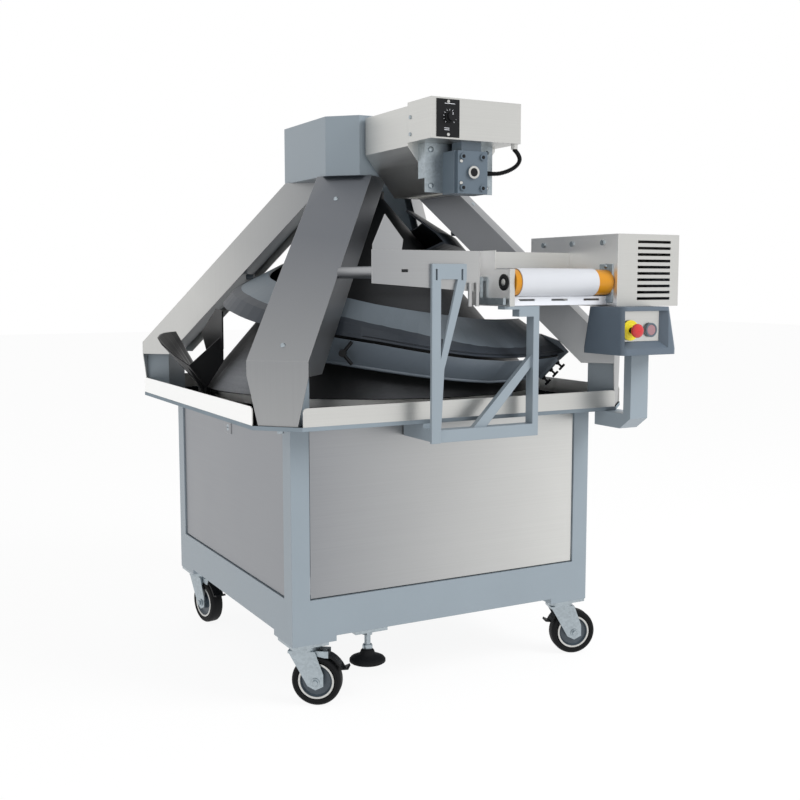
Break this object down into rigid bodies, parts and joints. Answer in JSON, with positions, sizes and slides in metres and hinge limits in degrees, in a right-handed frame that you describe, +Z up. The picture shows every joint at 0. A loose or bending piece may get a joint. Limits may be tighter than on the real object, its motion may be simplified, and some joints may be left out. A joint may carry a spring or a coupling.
{
  "type": "dough rounder",
  "caption": "Conical dough rounder: a turning cone inside a helical track on a wheeled cabinet, with a flour duster above and a short outfeed belt beside it.",
  "frame": {"origin": "on the floor under the cone's axis, where the wheels stand", "axes": "+X to the right along the front, -Y towards the front with the belt and controls, +Z up"},
  "size_m": [1.1613, 1.2857, 1.476],
  "materials": {
    "paint": "satin blue-grey paint",
    "track_paint": "satin grey coating",
    "panel_steel": "brushed",
    "bright_steel": "brushed",
    "zinc": "zinc plated",
    "cast": "as cast",
    "gear_paint": "gloss paint",
    "cone_coat": "dark non-stick coating",
    "apron_coat": "grey non-stick coating",
    "black_plastic": "matte",
    "slate_plastic": "matte",
    "white_plastic": "satin",
    "belt_fabric": "smooth coated belt",
    "amber_rubber": "satin",
    "red_plastic": "gloss",
    "black_rubber": "matte"
  },
  "bodies": {
    "frame": {"base_frame": "paint", "fixed_panels": "panel_steel", "table_plate": "paint", "tray_rims": "bright_steel", "leg_frame": "paint", "leg_covers": "bright_steel", "hub_housing": "paint", "spindle_bearings": "cast", "drive_gearbox": "gear_paint", "drive_motor": "gear_paint", "upper_track": "track_paint", "track_supports": "track_paint", "star_knobs": "black_plastic", "infeed_chute": "black_plastic", "duster_hopper": "bright_steel", "duster_control_box": "bright_steel", "duster_control_plate": "black_plastic", "duster_gear_bracket": "zinc", "duster_gearbox": "gear_paint", "duster_conduit": "black_plastic", "conveyor_frame": "white_plastic", "conveyor_belt": "belt_fabric", "belt_scraper": "white_plastic", "conveyor_housing": "bright_steel", "conveyor_motor": "gear_paint", "guide_plates": "bright_steel", "bracket_frame": "paint", "control_arm": "paint", "control_box": "slate_plastic", "control_plate": "bright_steel", "fasteners": "zinc", "caster_plates": "zinc"},
    "rotor": {"cone": "cone_coat", "cone_ring": "bright_steel", "spindle": "zinc"},
    "left_panel": {"left_panel": "panel_steel"},
    "panel_lock": {"panel_lock": "zinc"},
    "lower_track": {"lower_track": "apron_coat"},
    "clamp_lever": {"clamp_lever": "black_plastic"},
    "agitator": {"agitator": "zinc"},
    "speed_knob": {"speed_knob": "black_plastic"},
    "front_roller": {"front_roller": "amber_rubber"},
    "drive_roller": {"drive_roller": "amber_rubber"},
    "belt_lever": {"belt_lever": "zinc"},
    "stop_button": {"stop_button": "red_plastic"},
    "start_button": {"start_button": "white_plastic"},
    "foot_front": {"foot_front": "black_rubber"},
    "foot_rear": {"foot_rear": "black_rubber"},
    "fork_front_left": {"caster_fork_1": "zinc"},
    "wheel_front_left": {"caster_wheel_1": "black_rubber"},
    "pedal_front_left": {"caster_pedal_1": "black_plastic"},
    "fork_front_right": {"caster_fork_2": "zinc"},
    "wheel_front_right": {"caster_wheel_2": "black_rubber"},
    "pedal_front_right": {"caster_pedal_2": "black_plastic"},
    "fork_rear_left": {"caster_fork_3": "zinc"},
    "wheel_rear_left": {"caster_wheel_3": "black_rubber"},
    "pedal_rear_left": {"caster_pedal_3": "black_plastic"},
    "fork_rear_right": {"caster_fork_4": "zinc"},
    "wheel_rear_right": {"caster_wheel_4": "black_rubber"},
    "pedal_rear_right": {"caster_pedal_4": "black_plastic"}
  },
  "joints": [
    {"name": "cone_spin", "type": "hinge", "parent": "frame", "child": "rotor", "pos_m": [0, 0, 0.75], "axis": [0, 0, 1], "continuous": true},
    {"name": "left_panel_tilt", "type": "hinge", "parent": "frame", "child": "left_panel", "pos_m": [-0.439, 0, 0.277], "axis": [0, -1, 0], "range_deg": [0, 30]},
    {"name": "panel_lock_turn", "type": "hinge", "parent": "left_panel", "child": "panel_lock", "pos_m": [-0.441, 0, 0.649], "axis": [1, 0, 0], "range_deg": [0, 90]},
    {"name": "lower_track_slide", "type": "slide", "parent": "frame", "child": "lower_track", "axis": [0, -1, 0], "range_m": [0, 0.012]},
    {"name": "agitator_spin", "type": "hinge", "parent": "frame", "child": "agitator", "pos_m": [0, -0.3, 1.306], "axis": [0, 1, 0], "continuous": true},
    {"name": "speed_knob_turn", "type": "hinge", "parent": "frame", "child": "speed_knob", "pos_m": [-0.077, -0.56, 1.42988], "axis": [0, -1, 0], "range_deg": [-135, 135]},
    {"name": "drive_roller_spin", "type": "hinge", "parent": "frame", "child": "drive_roller", "pos_m": [0.2, -0.467, 1.042], "axis": [1, 0, 0], "continuous": true},
    {"name": "front_roller_spin", "type": "hinge", "parent": "frame", "child": "front_roller", "pos_m": [0.2, -0.599, 1.042], "axis": [1, 0, 0], "continuous": true},
    {"name": "belt_lever_turn", "type": "hinge", "parent": "frame", "child": "belt_lever", "pos_m": [0.046, -0.505, 1.048], "axis": [-1, 0, 0], "range_deg": [0, 40]},
    {"name": "stop_press", "type": "slide", "parent": "frame", "child": "stop_button", "axis": [0, 1, 0], "range_m": [0, 0.005], "stiffness_N_per_m": 400},
    {"name": "start_press", "type": "slide", "parent": "frame", "child": "start_button", "axis": [0, 1, 0], "range_m": [0, 0.003], "stiffness_N_per_m": 400},
    {"name": "foot_front_lower", "type": "slide", "parent": "frame", "child": "foot_front", "axis": [0, 0, -1], "range_m": [0, 0.086]},
    {"name": "foot_rear_lower", "type": "slide", "parent": "frame", "child": "foot_rear", "axis": [0, 0, -1], "range_m": [0, 0.086]},
    {"name": "clamp_lever_turn", "type": "hinge", "parent": "lower_track", "child": "clamp_lever", "pos_m": [-0.27517, -0.39298, 0.87033], "axis": [-0.5736, -0.8192, 0], "range_deg": [-60, 60]},
    {"name": "swivel_front_left", "type": "hinge", "parent": "frame", "child": "fork_front_left", "pos_m": [-0.393, -0.393, 0.15], "axis": [0, 0, 1], "continuous": true},
    {"name": "roll_front_left", "type": "hinge", "parent": "fork_front_left", "child": "wheel_front_left", "pos_m": [-0.36468, -0.41357, 0.0625], "axis": [0.5878, 0.809, 0], "continuous": true},
    {"name": "brake_front_left", "type": "hinge", "parent": "fork_front_left", "child": "pedal_front_left", "pos_m": [-0.34332, -0.4291, 0.12787], "axis": [0.5878, 0.809, 0], "range_deg": [0, 5]},
    {"name": "swivel_front_right", "type": "hinge", "parent": "frame", "child": "fork_front_right", "pos_m": [0.393, -0.393, 0.15], "axis": [0, 0, 1], "continuous": true},
    {"name": "roll_front_right", "type": "hinge", "parent": "fork_front_right", "child": "wheel_front_right", "pos_m": [0.42629, -0.40382, 0.0625], "axis": [0.309, 0.9511, 0], "continuous": true},
    {"name": "brake_front_right", "type": "hinge", "parent": "fork_front_right", "child": "pedal_front_right", "pos_m": [0.40117, -0.39565, 0.12787], "axis": [-0.309, -0.9511, 0], "range_deg": [0, 5]},
    {"name": "swivel_rear_left", "type": "hinge", "parent": "frame", "child": "fork_rear_left", "pos_m": [-0.393, 0.393, 0.15], "axis": [0, 0, 1], "continuous": true},
    {"name": "roll_rear_left", "type": "hinge", "parent": "fork_rear_left", "child": "wheel_rear_left", "pos_m": [-0.38692, 0.35853, 0.0625], "axis": [0.9848, 0.1736, 0], "continuous": true},
    {"name": "brake_rear_left", "type": "hinge", "parent": "fork_rear_left", "child": "pedal_rear_left", "pos_m": [-0.38234, 0.33252, 0.12787], "axis": [0.9848, 0.1736, 0], "range_deg": [0, 5]},
    {"name": "swivel_rear_right", "type": "hinge", "parent": "frame", "child": "fork_rear_right", "pos_m": [0.393, 0.393, 0.15], "axis": [0, 0, 1], "continuous": true},
    {"name": "roll_rear_right", "type": "hinge", "parent": "fork_rear_right", "child": "wheel_rear_right", "pos_m": [0.42331, 0.3755, 0.0625], "axis": [0.5, 0.866, 0], "continuous": true},
    {"name": "brake_rear_right", "type": "hinge", "parent": "fork_rear_right", "child": "pedal_rear_right", "pos_m": [0.44618, 0.36229, 0.12787], "axis": [0.5, 0.866, 0], "range_deg": [0, 5]}
  ],
  "couplings": [
    {"joint": "front_roller_spin", "follows": "drive_roller_spin", "ratio": 1}
  ]
}
